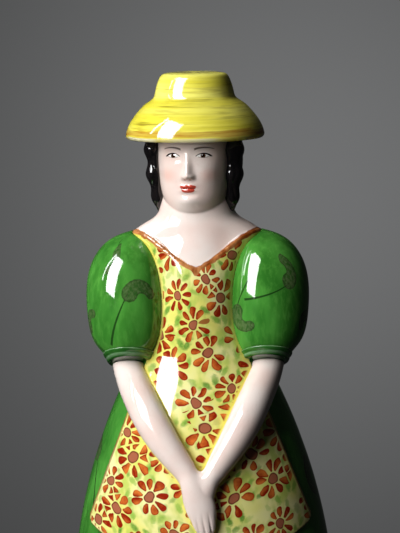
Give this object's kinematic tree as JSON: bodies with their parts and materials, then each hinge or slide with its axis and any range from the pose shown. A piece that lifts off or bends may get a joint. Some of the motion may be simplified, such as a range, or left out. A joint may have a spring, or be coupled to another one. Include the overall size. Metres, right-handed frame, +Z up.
{
  "type": "figural liquor decanter",
  "caption": "Hollow glazed ceramic decanter shaped as a standing woman in a puffed-sleeve dress and apron, with a corked straw-hat stopper that lifts out of the head.",
  "frame": {"origin": "middle of the foot on the surface that it stands on", "axes": "+Z up along the bore, -Y the way the figure faces, +X towards the figure's left"},
  "size_m": [0.11, 0.1, 0.2659],
  "materials": {
    "green_glaze": "glossy, brushed green",
    "flower_glaze": "glossy yellow with painted flowers",
    "skin_glaze": "glossy pale glaze",
    "black_glaze": "glossy black",
    "cuff_glaze": "glossy, thin pale green",
    "hat_glaze": "glossy straw yellow with brushed streaks",
    "white_glaze": "glossy white",
    "bare_clay": "matt, unglazed",
    "cork": "matt"
  },
  "bodies": {
    "decanter": {"skirt_shell": "green_glaze", "base_plate": "bare_clay", "bodice_shell": "flower_glaze", "shoulder_head": "skin_glaze", "hair_back": "black_glaze", "right_curls": "black_glaze", "left_curls": "black_glaze", "apron_front": "flower_glaze", "right_sleeve": "green_glaze", "left_sleeve": "green_glaze", "right_cuff": "cuff_glaze", "left_cuff": "cuff_glaze", "right_forearm": "skin_glaze", "left_forearm": "skin_glaze", "right_hand": "skin_glaze", "left_hand": "skin_glaze"},
    "stopper": {"hat": "hat_glaze", "stopper_plug": "white_glaze", "cork_sleeve": "cork"}
  },
  "joints": [
    {"name": "stopper_lift", "type": "slide", "parent": "decanter", "child": "stopper", "axis": [0, 0, 1], "range_m": [0, 0.06]}
  ]
}
